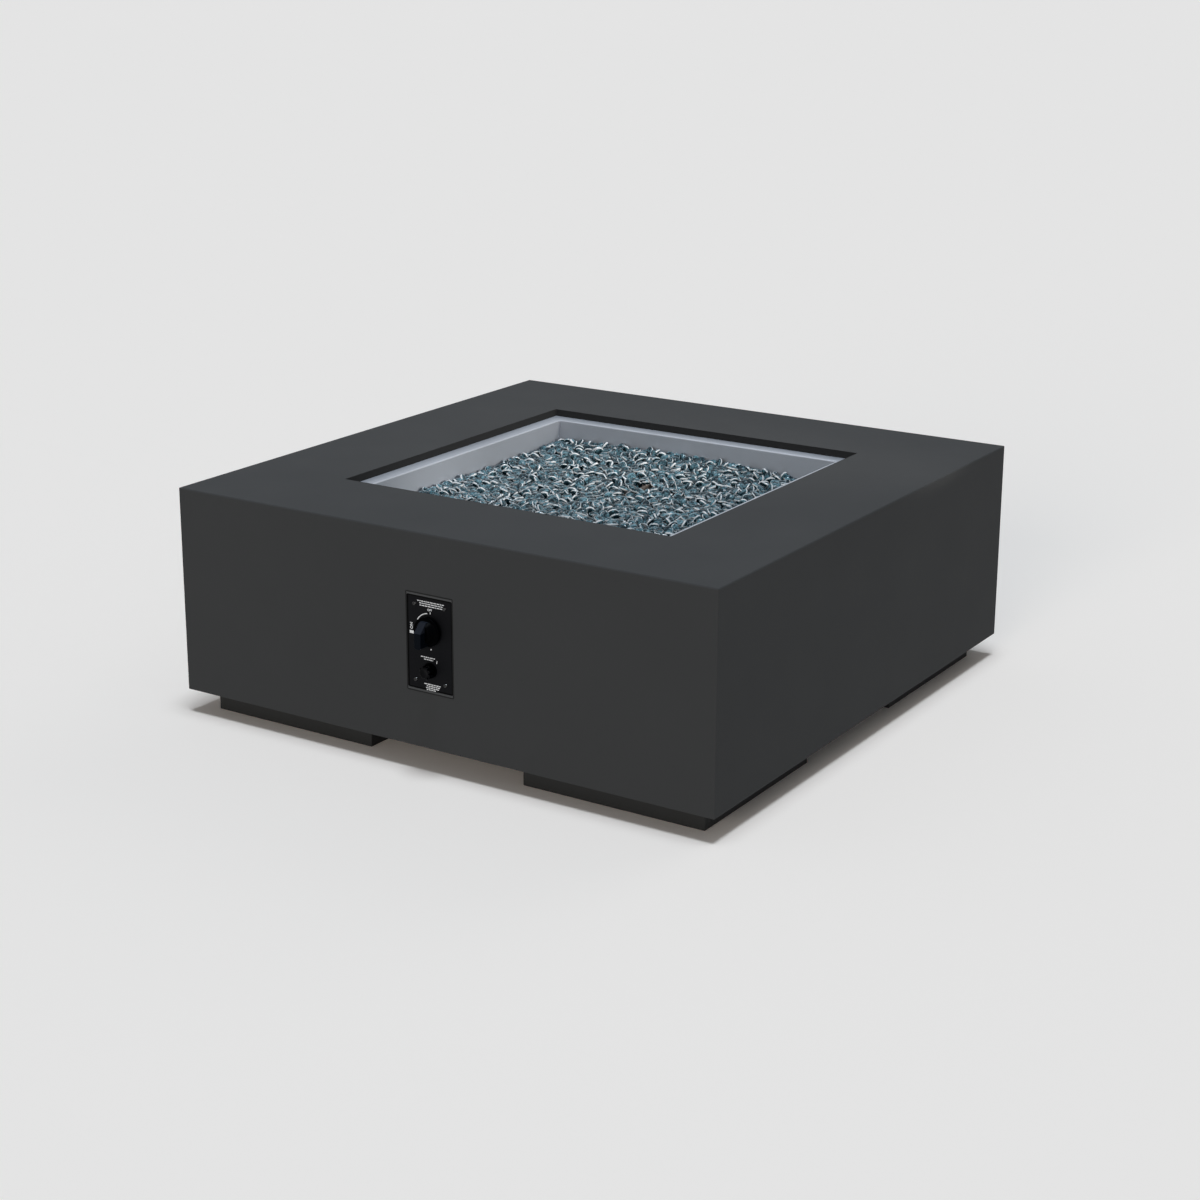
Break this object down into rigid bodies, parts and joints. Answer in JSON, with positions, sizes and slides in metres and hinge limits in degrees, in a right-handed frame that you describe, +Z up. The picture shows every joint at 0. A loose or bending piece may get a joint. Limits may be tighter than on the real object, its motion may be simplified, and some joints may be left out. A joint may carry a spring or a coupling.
{
  "type": "gas fire pit table",
  "caption": "Square cast fire pit table on pads, with a glass-filled burner pan, a ring burner and a front panel with a push-and-turn gas knob and a push-button igniter.",
  "frame": {"origin": "on the floor, in the middle of the square that the four pads stand on", "axes": "+Z up, +X to the right seen from the control panel, +Y to the back; the panel faces -Y"},
  "size_m": [1.067, 1.1, 0.408],
  "materials": {
    "cast_body": "matte cast",
    "cast_pads": "matte cast",
    "zinc_hardware": "zinc plated",
    "frame_steel": "primed",
    "brass": "turned",
    "pan_steel": "brushed",
    "burner_steel": "heat tinted",
    "mixer_alloy": "cast",
    "hood_steel": "heat tinted",
    "glass_beads": "fire polished",
    "white_ceramic": "glazed",
    "probe_alloy": "dull",
    "wire_jacket": "silicone",
    "shield_sheet": "mill",
    "box_black": "powder coated",
    "plate_black": "smooth",
    "knob_black": "fine matte",
    "valve_metal": "forged",
    "bright_steel": "bright",
    "battery_sleeve": "gloss",
    "hose_rubber": "matte"
  },
  "bodies": {
    "table": {"surround": "cast_body", "foot_front_left": "cast_pads", "foot_front_right": "cast_pads", "foot_rear_left": "cast_pads", "foot_rear_right": "cast_pads", "foot_bolts": "zinc_hardware", "foot_nuts": "zinc_hardware", "frame_bolts": "zinc_hardware", "burner_locknut": "zinc_hardware", "hood_screws": "zinc_hardware", "probe_nuts": "zinc_hardware", "shield_screws": "zinc_hardware", "box_screws": "zinc_hardware", "valve_nut": "zinc_hardware", "base_frame": "frame_steel", "wall_inserts": "brass", "orifice_fitting": "brass", "shield_spacers": "brass", "inlet_fitting": "brass", "inlet_nut": "brass", "flare_nuts": "brass", "magnet_unit": "brass", "burner_pan": "pan_steel", "burner_ring": "burner_steel", "electrode_rod": "burner_steel", "air_mixer": "mixer_alloy", "pilot_hood": "hood_steel", "fire_glass": "glass_beads", "electrode_insulator": "white_ceramic", "thermocouple": "probe_alloy", "thermocouple_lead": "probe_alloy", "spark_wire": "wire_jacket", "heat_shield": "shield_sheet", "control_box": "box_black", "control_bezel": "box_black", "control_plate": "plate_black", "plate_screws": "plate_black", "igniter_body": "knob_black", "igniter_nut": "knob_black", "valve_body": "valve_metal", "valve_cover": "valve_metal", "button_spring": "bright_steel", "battery": "battery_sleeve", "inlet_hose": "hose_rubber", "burner_hose": "hose_rubber"},
    "valve_rotor": {"valve_plug": "valve_metal"},
    "knob": {"valve_stem": "bright_steel", "control_knob": "knob_black", "stem_spring": "bright_steel"},
    "igniter_cap": {"igniter_button": "knob_black"}
  },
  "joints": [
    {"name": "valve_turn", "type": "hinge", "parent": "table", "child": "valve_rotor", "pos_m": [0, -0.5, 0.2458], "axis": [0, -1, 0], "range_deg": [0, 90]},
    {"name": "knob_push", "type": "slide", "parent": "valve_rotor", "child": "knob", "axis": [0, 1, 0], "range_m": [0, 0.0035], "stiffness_N_per_m": 700, "springref_m": -0.006, "deforming": ["stem_spring"]},
    {"name": "igniter_push", "type": "slide", "parent": "table", "child": "igniter_cap", "axis": [0, 1, 0], "range_m": [0, 0.003], "stiffness_N_per_m": 800, "springref_m": -0.004, "deforming": ["button_spring"]}
  ]
}
